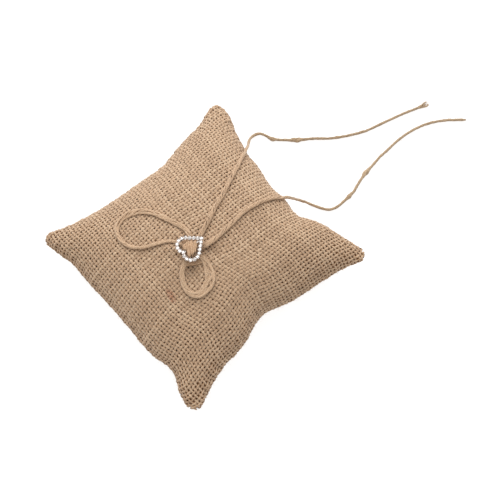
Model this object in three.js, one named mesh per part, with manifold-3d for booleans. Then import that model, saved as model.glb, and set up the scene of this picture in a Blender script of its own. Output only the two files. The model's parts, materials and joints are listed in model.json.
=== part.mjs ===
// Ring bearer pillow: a small burlap cushion with a jute twine bow tied through a rhinestone heart.
//
// Units are millimetres, +Z is up, and the pillow lies on z = 0 with its middle on the Z axis.
// The sides of the pillow run along X and Y. The bow's two long tails leave over the +Y side.
//
// The cushion is built in layers, from the outside in: two burlap panels whose edges turn in as
// seam allowances, the thread that joins them, a two-piece lining, and the loose fibre filling.

import * as THREE from 'three';
import { mergeVertices } from 'three/addons/utils/BufferGeometryUtils.js';
import Module from 'manifold-3d';

const wasm = await Module();
wasm.setup();

// ---------------------------------------------------------------- driving dimensions

// Cushion
const HALF_SIDE = 76;          // half of the square that the rounded corners are cut from
const CORNER_SHARPNESS = 16;   // exponent of the superellipse that rounds the corners
const SEAM_HEIGHT = 16;        // height of the seam that joins the two panels
const CROWN = 26;              // rise of the top panel above the seam
const BELLY = 23;              // depth of the bottom panel below the seam before it lies flat
const BURLAP = 1.1;            // thickness of the burlap
const LINING = 0.5;            // thickness of the lining cloth
const LINING_DROP = 2.8;       // top panel's outside to the lining's outside, at the middle
const FIT_GAP = 0.4;           // clearance between pieces that touch in the real cushion
const SEAM_SLIT = 1.2;         // space between the two seam allowances, where the thread runs
const ALLOWANCE = 8;           // width of the seam allowance turned to the inside
const FOLD = 2.4;              // the inside starts this far from the folded edge
const LINING_ALLOWANCE = 3;    // the same two in the lining
const LINING_FOLD = 1.5;
const FILLING_MARGIN = 4;      // the filling stops this far inside the lining's seam
const SEAM_INSET = 2.2;        // the stitching's distance from the folded edge
const THREAD = 0.5;            // sewing thread diameter

// Fineness of the soft solids
const RING_POINTS = 48;        // points round each ring, a multiple of 8
const BURLAP_RINGS = 8;        // rings from the middle out to the seam
const LINING_RINGS = 6;        // the same in the lining and the filling, which lie face to face
const CLOSING_SPANS = 4;       // spaces between ring points in the hand-sewn front of the seam
const CLOTH_PASSES = 12;       // steps that find the cloth coordinates of a point

// How far each side pulls in at its middle, and the puckers where its seam is pinched tighter.
// A pucker is its depth, its place along the side and its reach. The last two are fractions of
// the side's half length, positive towards +X or +Y.
const SIDES = {
  left: { bow: 13.3, puckers: [[2, 0.2, 0.15], [1.5, 0.7, 0.1], [-1.8, -0.92, 0.1]] },
  right: { bow: 10.6, puckers: [[6, -0.04, 0.2], [1.2, -0.53, 0.13], [-2.8, -0.9, 0.12], [-2, 0.9, 0.1]] },
  back: { bow: 12, puckers: [[4, 0, 0.2], [-2.8, -0.78, 0.14], [1.5, -0.37, 0.1], [6, 0.32, 0.14]] },
  front: { bow: 6, puckers: [[5, 0.62, 0.155], [1.7, -0.62, 0.15]] },
};

// Twine
const TWINE = 2.2;             // twine diameter
const TWINE_SIDES = 8;
const LOOP_STEP = 3.2;         // length of one straight piece of tube in the bow's loops
const TAIL_STEP = 5;           // the same in its tails
const TWINE_LIFT = 0.4;        // clearance between the twine and the burlap it lies on
const SLOPE_STEP = 0.5;        // step over which the burlap's slope is taken
const FLOOR = 1.25;            // height of the twine's middle where it lies on the table

// Heart buckle
const HEART_CENTRE = new THREE.Vector2(4.7, -11.3);
const HEART_TURN = -2 * Math.PI / 180;   // the tip points to +Y, turned a little towards +X
const HEART_CLEARANCE = 3.9;   // gap between the burlap and the back of the heart
const LOBE_RADIUS = 4.7;       // stone-centre line: two lobe arcs and two straight sides
const LOBE_X = 3.1;
const LOBE_Y = -2.2;
const TIP_Y = 8.1;
const STONES = 20;
const STONE_RADIUS = 1.05;
const CUP_RADIUS = 1.3;
const CUP_HEIGHT = 1.6;
const BACK_THICKNESS = 0.6;
const SEAT_DEPTH = 1.0;
const SEAT_CLEARANCE = 0.08;
const STONE_HEIGHTS = { point: 0.4, girdle: 0.9, crown: 1.02, table: 1.4 };
const STONE_TABLE = 0.55;      // radius of a stone's flat table, as a share of its own
const STONE_SIDES = 8;
const CUP_SIDES = 10;
const BAR_RADIUS = 0.5;
const BAR_CLEARANCE = 0.25;
const BAR_SIDES = 12;

// Knot: a wide base under the heart, and a crown that fills the heart's opening round the bar
const KNOT_BASE_RADII = new THREE.Vector3(3.7, 4.3, 1.4);
const KNOT_CROWN_RADII = new THREE.Vector3(3.5, 3.3, 2.6);
const KNOT_BASE_SHIFT = -1.2;  // along the heart, from its middle
const KNOT_CROWN_SHIFT = 0.2;
const KNOT_LIFT = 0.3;         // clearance under the base
const KNOT_CROWN_LIFT = 0.9;   // foot of the crown above the burlap, inside the base
const KNOT_SIDES = 14;         // round each lump of the knot
const KNOT_ROWS = 8;           // from its top to its foot
const TACK_RADIUS = 1.35;      // radius of the loop of thread that holds the knot down
const TACK_CLEARANCE = 0.2;
const TACK_SIDES = 16;
const THREAD_SIDES = 6;

// Routes of the twine, seen from above. A point with two numbers lies on the pillow, at the
// burlap's own height. A point with three numbers gives its height as well.
const LEFT_LOOP_ROUTE = [
  [1.4, -10.2], [-4.2, -6.3], [-9.5, -5.9], [-14.1, -7.5], [-19.2, -9.2], [-24.3, -10.9],
  [-30, -13.2], [-35.5, -16.6], [-39.5, -21.3], [-41.8, -26.3], [-41.6, -31.5], [-39.3, -35.7],
  [-35.2, -38.3], [-29.6, -39.1], [-24.2, -37.9], [-19.8, -35], [-16.3, -31.2], [-13.8, -26.5],
  [-11.2, -21.8], [-8, -17.2], [-4, -14.4], [0.6, -13.3],
];
const LOWER_LOOP_ROUTE = [
  [6.7, -16.2], [7.7, -18.2], [8.9, -20.9], [10.6, -23.6], [12.7, -25.8], [15.3, -27.7],
  [18.4, -29.1], [21.8, -29.8], [25.1, -29.3], [27.5, -27.3], [28.7, -24.3], [28.6, -21],
  [27.7, -17.9], [26, -15.3], [23.7, -13.3], [21, -11.9], [18, -10.8], [14.9, -10.1],
  [11.5, -10.3], [8.4, -11.2],
];
const UPPER_TAIL_ROUTE = [
  [3.4, -7.8], [1.5, -2], [-2.3, 7.9], [-6.5, 17], [-9.8, 25.5], [-14.4, 34.8], [-18.8, 43.6],
  [-23.1, 51.5], [-26.4, 56.9], [-28.7, 60.8], [-30.8, 63.6, 22.4], [-33, 66.6, 18],
  [-35.2, 68.9, 12.5], [-38.2, 72, 7.5], [-41.6, 76.2, 4.5], [-43.2, 81.2, FLOOR],
  [-41.4, 85.6, FLOOR], [-37.6, 87.6, FLOOR], [-33.1, 88.9, FLOOR], [-29, 92.2, FLOOR],
  [-24.3, 97, FLOOR], [-20.4, 101.6, FLOOR], [-12.3, 111.9, FLOOR], [-5.9, 119, FLOOR],
  [0, 128, FLOOR], [6.5, 141, FLOOR], [10, 153, FLOOR], [14.1, 167.8, FLOOR],
  [18.9, 182.2, FLOOR], [21, 189, FLOOR],
];
const RIGHT_TAIL_ROUTE = [
  [6.8, -8.2], [8.8, -3], [9.3, 5], [8.5, 14], [7.8, 21], [6.9, 30], [7.5, 39.1], [8.1, 44.7],
  [9.4, 50.2], [10.5, 54], [11.6, 57], [12.3, 60, 23], [12.9, 63.4, 17.5], [14, 67.4, 10.5],
  [15.5, 70.8, 5.5], [17.6, 73.4, 2.4], [24.5, 76.9, FLOOR], [29, 79.4, FLOOR],
  [32.6, 82.5, FLOOR], [34.2, 87, FLOOR], [34.4, 94, FLOOR], [33.8, 103, FLOOR],
  [31.6, 110, FLOOR], [29.6, 118.5, FLOOR], [28.6, 126, FLOOR], [27.5, 134, FLOOR],
  [27.3, 142, FLOOR], [27, 154.5, FLOOR], [28.9, 168.5, FLOOR], [33.2, 180, FLOOR],
  [39.1, 189.2, FLOOR], [47.7, 199, FLOOR],
];

// ---------------------------------------------------------------- materials

function material(colour, roughness, metalness = 0) {
  return new THREE.MeshStandardMaterial({ color: colour, roughness, metalness });
}

const burlap = material('#b79a7e', 0.95);
const liningCloth = material('#8a6b4c', 0.9);
const fibre = material('#e6dfd2', 1.0);
const thread = material('#c3a988', 0.8);
const twine = material('#c4a27c', 0.95);
const silverPlate = material('#c9c9cc', 0.25, 1.0);
const crystal = material('#eef2f6', 0.05);

// ---------------------------------------------------------------- shape of the cushion

// How far a side stands in from the straight line between its corners, at place s on it.
function pullIn(side, s) {
  const puckers = side.puckers.map(([depth, at, reach]) => depth * Math.exp(-(((s - at) / reach) ** 2)));
  return puckers.reduce((total, pucker) => total + pucker, side.bow * (1 - s * s));
}

// Cloth coordinates u and v run from -1 to 1 between opposite seams. A side's pull-in fades
// with the square of the distance from the middle of the cushion.
function planPoint(u, v) {
  const sideX = u > 0 ? SIDES.right : SIDES.left;
  const sideY = v > 0 ? SIDES.back : SIDES.front;
  return new THREE.Vector2(
    HALF_SIDE * u - Math.sign(u) * u * u * pullIn(sideX, v),
    HALF_SIDE * v - Math.sign(v) * v * v * pullIn(sideY, u),
  );
}

// Share of the full height at (u, v): steep at the seams, thin at the corners, full in the middle.
function fullness(u, v) {
  const rim = (Math.abs(u) ** CORNER_SHARPNESS + Math.abs(v) ** CORNER_SHARPNESS)
    ** (1 / CORNER_SHARPNESS);
  const across = Math.max(0, 1 - u * u);
  const along = Math.max(0, 1 - v * v);
  return Math.sqrt(across * along) * (1 - Math.min(1, rim) ** CORNER_SHARPNESS);
}

// Cloth coordinates of the point at (x, y), by closing in on it a few times.
function clothAt(x, y) {
  let u = x / HALF_SIDE;
  let v = y / HALF_SIDE;
  for (let pass = 0; pass < CLOTH_PASSES; pass++) {
    const miss = planPoint(u, v);
    u += (x - miss.x) / HALF_SIDE;
    v += (y - miss.y) / HALF_SIDE;
  }
  return [u, v];
}

function topHeight(x, y) {
  return SEAM_HEIGHT + SEAM_SLIT / 2 + CROWN * fullness(...clothAt(x, y));
}

// One ring of points round the cushion, at a share of the way out to the seam. The layer tells
// how far it is inset from the seam, how far it rises (up or down) and where it lies flat.
function ring(share, { inset, rise, up, flatAt = 0, offset = SEAM_SLIT / 2 }) {
  const scale = 1 - inset / HALF_SIDE;
  return Array.from({ length: RING_POINTS }, (_, i) => {
    const angle = 2 * Math.PI * i / RING_POINTS;
    const reach = (Math.abs(Math.cos(angle)) ** CORNER_SHARPNESS
      + Math.abs(Math.sin(angle)) ** CORNER_SHARPNESS) ** (-1 / CORNER_SHARPNESS);
    const u = share * reach * Math.cos(angle);
    const v = share * reach * Math.sin(angle);
    const plan = planPoint(u, v).multiplyScalar(scale);
    const height = offset + rise * fullness(u, v);
    const z = up ? SEAM_HEIGHT + height : Math.max(flatAt, SEAM_HEIGHT - height);
    return new THREE.Vector3(plan.x, plan.y, z);
  });
}

// Rings of one layer from the middle out to the seam, closer together near the seam.
function dome(count, layer) {
  return Array.from({ length: count }, (_, i) => ring(Math.sin(Math.PI / 2 * (i + 1) / count), layer));
}

function middleOf(layer) {
  const points = ring(0, layer);
  return points[0];
}

// ---------------------------------------------------------------- solids

// Closed solid from rings of points, with a point in the middle of the first and the last ring.
function solidOfRings(first, rings, last) {
  const points = [first, ...rings.flat(), last];
  const lastIndex = points.length - 1;
  const index = [];
  const at = (ringNumber, i) => 1 + ringNumber * RING_POINTS + (i % RING_POINTS);
  for (let i = 0; i < RING_POINTS; i++) {
    index.push(0, at(0, i), at(0, i + 1));
    for (let r = 0; r + 1 < rings.length; r++) {
      index.push(at(r, i), at(r + 1, i), at(r + 1, i + 1));
      index.push(at(r, i), at(r + 1, i + 1), at(r, i + 1));
    }
    index.push(lastIndex, at(rings.length - 1, i + 1), at(rings.length - 1, i));
  }
  const geometry = new THREE.BufferGeometry().setFromPoints(points);
  geometry.setIndex(index);
  return facingOut(geometry);
}

// Turns every triangle over if the solid came out inside out.
function facingOut(geometry) {
  const position = geometry.attributes.position;
  const index = geometry.index.array;
  const corner = [0, 1, 2].map(() => new THREE.Vector3());
  let volume = 0;
  for (let i = 0; i < index.length; i += 3) {
    corner.forEach((point, k) => point.fromBufferAttribute(position, index[i + k]));
    volume += corner[0].dot(corner[1].cross(corner[2]));
  }
  if (volume < 0) {
    geometry.setIndex(Array.from(index).reverse());
  }
  geometry.computeVertexNormals();
  return geometry;
}

// A burlap or lining panel: the outside, the allowance turned in at the seam, then the inside.
// Both domes have the same number of rings, so that the cloth is as thick all over.
function panel(outside, inside, allowance, thickness, count) {
  const seam = { ...outside, rise: 0, offset: outside.offset ?? SEAM_SLIT / 2 };
  const turned = (inset, level) => ring(1, {
    ...seam,
    inset: outside.inset + inset,
    offset: seam.offset + level,
  });
  const rings = [
    ...dome(count, outside),
    turned(allowance / 2, 0),
    turned(allowance, 0),
    turned(allowance, thickness),
    turned(allowance / 2, thickness),
    ...dome(count, inside).reverse(),
  ];
  return solidOfRings(middleOf(outside), rings, middleOf(inside));
}

// The inside of a burlap panel starts at the top of its turned-in allowance.
function burlapPanel(up) {
  const rise = up ? CROWN : BELLY;
  const outside = { inset: 0, rise, up };
  const inside = {
    inset: FOLD,
    rise: rise - 2 * BURLAP,
    up,
    flatAt: BURLAP,
    offset: SEAM_SLIT / 2 + BURLAP,
  };
  return panel(outside, inside, ALLOWANCE, BURLAP, BURLAP_RINGS);
}

// The lining hangs inside the allowances, so its seam is smaller than the burlap's.
function liningPanel(up) {
  const rise = up ? CROWN - LINING_DROP : BELLY - BURLAP - FIT_GAP;
  const inset = ALLOWANCE + 2 * BURLAP;
  const flatAt = BURLAP + FIT_GAP;
  const offset = FIT_GAP / 2;
  const outside = { inset, rise, up, flatAt, offset };
  const inside = {
    inset: inset + LINING_FOLD,
    rise: rise - 2 * LINING,
    up,
    flatAt: flatAt + LINING,
    offset: offset + LINING,
  };
  return panel(outside, inside, LINING_ALLOWANCE, LINING, LINING_RINGS);
}

// The filling is a plain lens inside the lining, clear of the lining's own seam.
function filling() {
  const inset = ALLOWANCE + 2 * BURLAP + LINING_FOLD + FILLING_MARGIN;
  const flatAt = BURLAP + 2 * FIT_GAP + LINING;
  const above = {
    inset,
    rise: CROWN - LINING_DROP - 2 * LINING - FIT_GAP,
    up: true,
    offset: LINING + FIT_GAP,
  };
  const below = {
    inset,
    rise: BELLY - BURLAP - 2 * LINING - 2 * FIT_GAP,
    up: false,
    flatAt,
    offset: LINING + FIT_GAP,
  };
  const rings = [...dome(LINING_RINGS, above), ...dome(LINING_RINGS, below).reverse()];
  return solidOfRings(middleOf(above), rings, middleOf(below));
}

// A round tube along a smooth curve through the points, in straight pieces, with flat ends.
function tube(points, diameter, sides, step) {
  const section = new THREE.Shape();
  for (let i = 0; i < sides; i++) {
    const angle = 2 * Math.PI * i / sides;
    const x = diameter / 2 * Math.cos(angle);
    const y = diameter / 2 * Math.sin(angle);
    if (i === 0) {
      section.moveTo(x, y);
    } else {
      section.lineTo(x, y);
    }
  }
  const path = new THREE.CatmullRomCurve3(points, false, 'centripetal');
  const steps = Math.round(path.getLength() / step);
  return new THREE.ExtrudeGeometry(section, { steps, extrudePath: path, curveSegments: 1 });
}

// ---------------------------------------------------------------- booleans

function toSolid(geometry) {
  const bare = geometry.index ? geometry.toNonIndexed() : geometry.clone();
  bare.deleteAttribute('normal');
  bare.deleteAttribute('uv');
  const merged = mergeVertices(bare, 1e-4);
  return new wasm.Manifold(new wasm.Mesh({
    numProp: 3,
    vertProperties: merged.attributes.position.array,
    triVerts: Uint32Array.from(merged.index.array),
  }));
}

function toGeometry(solid) {
  const mesh = solid.getMesh();
  const geometry = new THREE.BufferGeometry();
  geometry.setAttribute('position', new THREE.BufferAttribute(mesh.vertProperties, 3));
  geometry.setIndex(new THREE.BufferAttribute(mesh.triVerts, 1));
  geometry.computeVertexNormals();
  return geometry;
}

// A cylinder of three.js stands along Y, and here it stands along Z with its foot at z.
function upright(radius, height, segments, x, y, z) {
  return new THREE.CylinderGeometry(radius, radius, height, segments)
    .rotateX(Math.PI / 2)
    .translate(x, y, z + height / 2);
}

// ---------------------------------------------------------------- heart buckle

// Right half of the stone-centre line from the tip to the cleft, as a straight side and an arc.
function heartHalf() {
  const toTip = Math.atan2(TIP_Y - LOBE_Y, -LOBE_X);
  const tipDistance = Math.hypot(TIP_Y - LOBE_Y, LOBE_X);
  const start = toTip - Math.acos(LOBE_RADIUS / tipDistance);
  const end = -Math.PI + Math.acos(LOBE_X / LOBE_RADIUS);
  const half = new THREE.Path();
  half.moveTo(0, TIP_Y);
  half.lineTo(LOBE_X + LOBE_RADIUS * Math.cos(start), LOBE_Y + LOBE_RADIUS * Math.sin(start));
  half.absarc(LOBE_X, LOBE_Y, LOBE_RADIUS, start, end, true);
  return half;
}

// Centres of the stones, evenly spaced: one at the tip, one at the cleft, ten on each side.
function stoneCentres() {
  const right = heartHalf().getSpacedPoints(STONES / 2);
  const left = right.slice(1, -1).reverse().map((point) => new THREE.Vector2(-point.x, point.y));
  return [...right, ...left];
}

// Heart coordinates: X across, Y from cleft to tip, z = 0 on the axis of the bar.
const CUP_FOOT = -BACK_THICKNESS / 2;
const CUP_TOP = CUP_FOOT + CUP_HEIGHT;
const SEAT_FLOOR = CUP_TOP - SEAT_DEPTH;

// One casting: a cup for each stone, joined side by side, and the bar that the twine goes round.
function heartFrame() {
  const centres = stoneCentres();
  const cleftY = centres[STONES / 2].y;
  const bar = new THREE.CylinderGeometry(BAR_RADIUS, BAR_RADIUS, TIP_Y - cleftY, BAR_SIDES)
    .translate(0, (TIP_Y + cleftY) / 2, 0);
  const seatRadius = STONE_RADIUS + SEAT_CLEARANCE;
  let frame = toSolid(bar);
  for (const { x, y } of centres) {
    frame = frame.add(toSolid(upright(CUP_RADIUS, CUP_HEIGHT, CUP_SIDES, x, y, CUP_FOOT)));
  }
  for (const { x, y } of centres) {
    const seat = upright(seatRadius, 2 * SEAT_DEPTH, CUP_SIDES, x, y, SEAT_FLOOR);
    frame = frame.subtract(toSolid(seat));
  }
  return toGeometry(frame);
}

// A round brilliant-cut stone: pointed back, short girdle, bevelled crown and flat table.
function stone() {
  const { point, girdle, crown, table } = STONE_HEIGHTS;
  const profile = [[0, point], [1, girdle], [1, crown], [STONE_TABLE, table], [0, table]];
  const points = profile.map(([share, height]) => new THREE.Vector2(share * STONE_RADIUS, height));
  return new THREE.LatheGeometry(points, STONE_SIDES).rotateX(Math.PI / 2);
}

// ---------------------------------------------------------------- bow

// Height of the twine's middle on the burlap: the clearance is kept square to the slope.
function twineHeight(x, y) {
  const height = topHeight(x, y);
  const slopeX = (topHeight(x + SLOPE_STEP, y) - height) / SLOPE_STEP;
  const slopeY = (topHeight(x, y + SLOPE_STEP) - height) / SLOPE_STEP;
  return height + (TWINE_LIFT + TWINE / 2) * Math.hypot(1, slopeX, slopeY);
}

function twineAlong(route, step) {
  const points = route.map(([x, y, z]) => new THREE.Vector3(x, y, z ?? twineHeight(x, y)));
  return tube(points, TWINE, TWINE_SIDES, step);
}

// A rounded lump of twine, a shift along the heart from its middle and a lift off the burlap.
function knotLump(radii, shift, lift) {
  const middle = heart.localToWorld(new THREE.Vector3(0, shift, 0));
  const ground = topHeight(middle.x, middle.y);
  return toSolid(new THREE.SphereGeometry(1, KNOT_SIDES, KNOT_ROWS)
    .scale(radii.x, radii.y, radii.z)
    .rotateZ(HEART_TURN)
    .translate(middle.x, middle.y, ground + lift + radii.z));
}

// The tacking stitch is a loop of thread through the burlap and the underside of the knot.
function tackStitch(threadRadius, x, y) {
  return new THREE.TorusGeometry(TACK_RADIUS, threadRadius, THREAD_SIDES, TACK_SIDES)
    .rotateX(Math.PI / 2)
    .translate(x, y, topHeight(x, y) - BURLAP / 2);
}

// ---------------------------------------------------------------- assembly

const pillow = new THREE.Group();

function place(name, geometry, look, parent = pillow) {
  const mesh = new THREE.Mesh(geometry, look);
  mesh.name = name;
  parent.add(mesh);
  return mesh;
}

const heart = new THREE.Group();
const heartGround = topHeight(HEART_CENTRE.x, HEART_CENTRE.y);
heart.position.set(
  HEART_CENTRE.x,
  HEART_CENTRE.y,
  heartGround + HEART_CLEARANCE + BACK_THICKNESS / 2,
);
heart.rotation.z = HEART_TURN;
heart.updateMatrixWorld();

const knotPlace = heart.localToWorld(new THREE.Vector3(0, KNOT_BASE_SHIFT, 0));
const tackHole = toSolid(tackStitch(THREAD / 2 + TACK_CLEARANCE, knotPlace.x, knotPlace.y));

place('top_panel', toGeometry(toSolid(burlapPanel(true)).subtract(tackHole)), burlap);
place('bottom_panel', burlapPanel(false), burlap);
place('lining_top', liningPanel(true), liningCloth);
place('lining_bottom', liningPanel(false), liningCloth);
place('fibre_filling', filling(), fibre);

// The seam is sewn by machine, but for a stretch on the front side that is closed by hand once
// the filling is in.
const seamLine = ring(1, { inset: SEAM_INSET, rise: 0, up: true, offset: 0 });
const frontMiddle = RING_POINTS * 3 / 4;
const gapStart = frontMiddle - CLOSING_SPANS / 2;
const gapEnd = frontMiddle + CLOSING_SPANS / 2;
const handStitched = seamLine.slice(gapStart, gapEnd + 1);
const machineStitched = [...seamLine.slice(gapEnd + 1), ...seamLine.slice(0, gapStart)];
const stitchStep = 2 * Math.PI * HALF_SIDE / RING_POINTS;
place('seam_stitching', tube(machineStitched, THREAD, THREAD_SIDES, stitchStep), thread);
place('closing_stitching', tube(handStitched, THREAD, THREAD_SIDES, stitchStep), thread);

// The knot has room for the bar to turn in it, and for the stitch that holds it down.
const barHoleRadius = BAR_RADIUS + BAR_CLEARANCE;
const barHole = toSolid(new THREE.CylinderGeometry(
  barHoleRadius, barHoleRadius, 4 * KNOT_BASE_RADII.y, BAR_SIDES,
).applyMatrix4(heart.matrixWorld));
const knot = knotLump(KNOT_BASE_RADII, KNOT_BASE_SHIFT, KNOT_LIFT)
  .add(knotLump(KNOT_CROWN_RADII, KNOT_CROWN_SHIFT, KNOT_CROWN_LIFT));
place('bow_knot', toGeometry(knot.subtract(barHole).subtract(tackHole)), twine);
place('tack_stitch', tackStitch(THREAD / 2, knotPlace.x, knotPlace.y), thread);

place('bow_loop_left', twineAlong(LEFT_LOOP_ROUTE, LOOP_STEP), twine);
place('bow_loop_lower', twineAlong(LOWER_LOOP_ROUTE, LOOP_STEP), twine);
place('bow_tail_upper', twineAlong(UPPER_TAIL_ROUTE, TAIL_STEP), twine);
place('bow_tail_right', twineAlong(RIGHT_TAIL_ROUTE, TAIL_STEP), twine);

// The heart and its stones rock together on the bar.
pillow.add(heart);
place('heart_frame', heartFrame(), silverPlate, heart);
stoneCentres().forEach(({ x, y }, i) => {
  const name = `rhinestone_${String(i + 1).padStart(2, '0')}`;
  place(name, stone(), crystal, heart).position.set(x, y, 0);
});

export default pillow;
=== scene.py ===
"""Ring bearer pillow: the looks of a small burlap cushion with a twine bow and a rhinestone heart.

Units are metres and +Z is up. The cushion is inflated by cloth simulation, and every yarn of its
burlap is then woven over and under on the simulated shape. The twine lies on that cloth.
"""

import json
import math

import bmesh
import bpy
import numpy as np
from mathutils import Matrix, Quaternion, Vector
from mathutils.bvhtree import BVHTree


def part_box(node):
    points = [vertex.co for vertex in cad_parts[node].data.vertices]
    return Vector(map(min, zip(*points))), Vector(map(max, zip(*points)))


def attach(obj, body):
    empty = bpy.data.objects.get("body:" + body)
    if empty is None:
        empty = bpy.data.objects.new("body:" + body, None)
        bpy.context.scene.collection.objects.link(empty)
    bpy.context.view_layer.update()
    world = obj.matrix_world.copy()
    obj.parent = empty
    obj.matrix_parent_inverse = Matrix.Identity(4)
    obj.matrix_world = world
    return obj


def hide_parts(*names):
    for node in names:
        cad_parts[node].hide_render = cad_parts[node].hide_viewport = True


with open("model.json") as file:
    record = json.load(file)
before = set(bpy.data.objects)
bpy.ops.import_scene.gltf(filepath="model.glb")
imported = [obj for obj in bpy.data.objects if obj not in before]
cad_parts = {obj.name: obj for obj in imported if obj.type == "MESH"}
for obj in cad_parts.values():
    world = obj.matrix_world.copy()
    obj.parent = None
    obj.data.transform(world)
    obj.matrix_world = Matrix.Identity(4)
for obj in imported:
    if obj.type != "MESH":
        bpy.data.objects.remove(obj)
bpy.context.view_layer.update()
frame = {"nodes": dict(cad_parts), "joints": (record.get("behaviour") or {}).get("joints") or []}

# ---- camera

CAMERA_AZIMUTH = math.radians(51.49)
CAMERA_ELEVATION = math.radians(71.14)
CAMERA_ROLL = math.radians(3.55)
CAMERA_DISTANCE = 0.5062
CAMERA_LENS = 55  # millimetres, on the usual 36 mm sensor
CAMERA_AIM = Vector((0.0175, 0.0235, 0.0003))  # a point between the cushion and its tails


def add_camera():
    camera = bpy.data.objects.new("camera", bpy.data.cameras.new("camera"))
    camera.data.lens = CAMERA_LENS
    camera.data.clip_start = 0.01
    flat = math.cos(CAMERA_ELEVATION)
    back = Vector((
        math.sin(CAMERA_AZIMUTH) * flat,
        -math.cos(CAMERA_AZIMUTH) * flat,
        math.sin(CAMERA_ELEVATION),
    ))
    camera.rotation_mode = "QUATERNION"
    camera.rotation_quaternion = back.to_track_quat("Z", "Y") @ Quaternion((0, 0, 1), -CAMERA_ROLL)
    camera.location = CAMERA_AIM + back * CAMERA_DISTANCE
    bpy.context.collection.objects.link(camera)
    bpy.context.scene.camera = camera


add_camera()

# ---- driving dimensions

# Cushion, as in the CAD model
HALF_SIDE = 0.076  # half of the square that the rounded corners are cut from
CUT_SIDE = 0.150  # side of the flat cloth between its seams
CORNER_SHARPNESS = 16  # exponent of the superellipse that rounds the corners
SEAM_HEIGHT = 0.016

# How far each side pulls in at its middle, and the puckers where its seam is pinched tighter.
# A pucker is its depth, its place along the side and its reach. The last two are fractions of
# the side's half length.
SIDES = {
    "left": (0.0133, [(0.002, 0.2, 0.15), (0.0015, 0.7, 0.1), (-0.0018, -0.92, 0.1)]),
    "right": (0.0106, [(0.006, -0.04, 0.2), (0.0012, -0.53, 0.13), (-0.0028, -0.9, 0.12),
                       (-0.002, 0.9, 0.1)]),
    "back": (0.012, [(0.004, 0, 0.2), (-0.0028, -0.78, 0.14), (0.0015, -0.37, 0.1),
                     (0.006, 0.32, 0.14)]),
    "front": (0.006, [(0.005, 0.62, 0.155), (0.0017, -0.62, 0.15)]),
}
EDGE_INSET = 0.0009  # from the CAD outline in to the middle of the cloth at the seam
TOP_START = 0.024  # rise and depth of the cushion before it is inflated
BELLY_START = 0.021

# Weave
THREADS = 64  # yarns each way between two seams
YARN_WIDTH = 0.00178
YARN_THICKNESS = 0.00068
WAVE = 0.00032  # how far a yarn swings over and under its neighbours
YARN_SAMPLES = 3  # rings of a yarn from one crossing to the next
YARN_SIDES = 6
HALF_CLOTH = YARN_THICKNESS / 2 + WAVE
SEAM_ROOM = 0.0015  # half of the space between the two panels at the seam
FOLD_RADIUS = 0.0009  # of the cloth's middle where it turns in over the seam
FOLD_CELLS = 7  # grid cells of cloth over the seam and inside it
FOLDED_YARNS = 2  # yarns that run along each side beyond the seam
FOLDED_REACH = 0.965  # how far those yarns go of the way to the corners
SLACK = 0.25  # share that a yarn loses in width where the cloth is slackest

# Twine
TWINE = 0.0022
STRAND = 0.0009  # thickness of one of its strands
STRANDS = 7
STRAND_TURN = 0.016  # length of a full turn of the strands
FLAT_TWINE = 0.0014  # height of the twine where the knot has pressed it flat
OPEN_TWINE = 0.001  # and in the lower loop, where its fibres have opened out
TWINE_STEP = 0.0006  # from one ring of the mesh to the next
KNOT_STEP = TWINE_STEP / 2
FLOOR = 0.00125  # height of the twine's middle where it lies on the table

# Heart
HINGE = frame["joints"][0]
HEART_MIDDLE = np.array(HINGE["pos_m"])
HEART_UP = np.array(HINGE["axis"]) / np.linalg.norm(HINGE["axis"])  # from the cleft to the tip
HEART_ACROSS = np.cross(HEART_UP, (0, 0, 1))

# Routes of the twine, seen from above, as in the CAD model. A point with two numbers lies on the
# cushion, and a point with three gives its height as well.
LEFT_LOOP_ROUTE = [
    (0.0014, -0.0102), (-0.0042, -0.0063), (-0.0095, -0.0059), (-0.0141, -0.0075),
    (-0.0192, -0.0092), (-0.0243, -0.0109), (-0.03, -0.0132), (-0.0355, -0.0166),
    (-0.0395, -0.0213), (-0.0418, -0.0263), (-0.0416, -0.0315), (-0.0393, -0.0357),
    (-0.0352, -0.0383), (-0.0296, -0.0391), (-0.0242, -0.0379), (-0.0198, -0.035),
    (-0.0163, -0.0312), (-0.0138, -0.0265), (-0.0112, -0.0218), (-0.008, -0.0172),
    (-0.004, -0.0144), (0.0006, -0.0133),
]
LOWER_LOOP_ROUTE = [
    (0.0067, -0.0162), (0.0077, -0.0182), (0.0089, -0.0209), (0.0106, -0.0236), (0.0127, -0.0258),
    (0.0153, -0.0277), (0.0184, -0.0291), (0.0218, -0.0298), (0.0251, -0.0293), (0.0275, -0.0273),
    (0.0287, -0.0243), (0.0286, -0.021), (0.0277, -0.0179), (0.026, -0.0153), (0.0237, -0.0133),
    (0.021, -0.0119), (0.018, -0.0108), (0.0149, -0.0101), (0.0115, -0.0103), (0.0084, -0.0112),
]
UPPER_TAIL_ROUTE = [
    (0.0034, -0.0078), (0.0015, -0.002), (-0.0023, 0.0079), (-0.0065, 0.017), (-0.0098, 0.0255),
    (-0.0144, 0.0348), (-0.0188, 0.0436), (-0.0231, 0.0515), (-0.0264, 0.0569), (-0.0287, 0.0608),
    (-0.0308, 0.0636, 0.0224), (-0.033, 0.0666, 0.018), (-0.0352, 0.0689, 0.0125),
    (-0.0382, 0.072, 0.0075), (-0.0416, 0.0762, 0.0045), (-0.0432, 0.0812, FLOOR),
    (-0.0414, 0.0856, FLOOR), (-0.0376, 0.0876, FLOOR), (-0.0331, 0.0889, FLOOR),
    (-0.029, 0.0922, FLOOR), (-0.0243, 0.097, FLOOR), (-0.0204, 0.1016, FLOOR),
    (-0.0123, 0.1119, FLOOR), (-0.0059, 0.119, FLOOR), (0.0, 0.128, FLOOR), (0.0065, 0.141, FLOOR),
    (0.01, 0.153, FLOOR), (0.0141, 0.1678, FLOOR), (0.0189, 0.1822, FLOOR), (0.021, 0.189, FLOOR),
]
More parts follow.
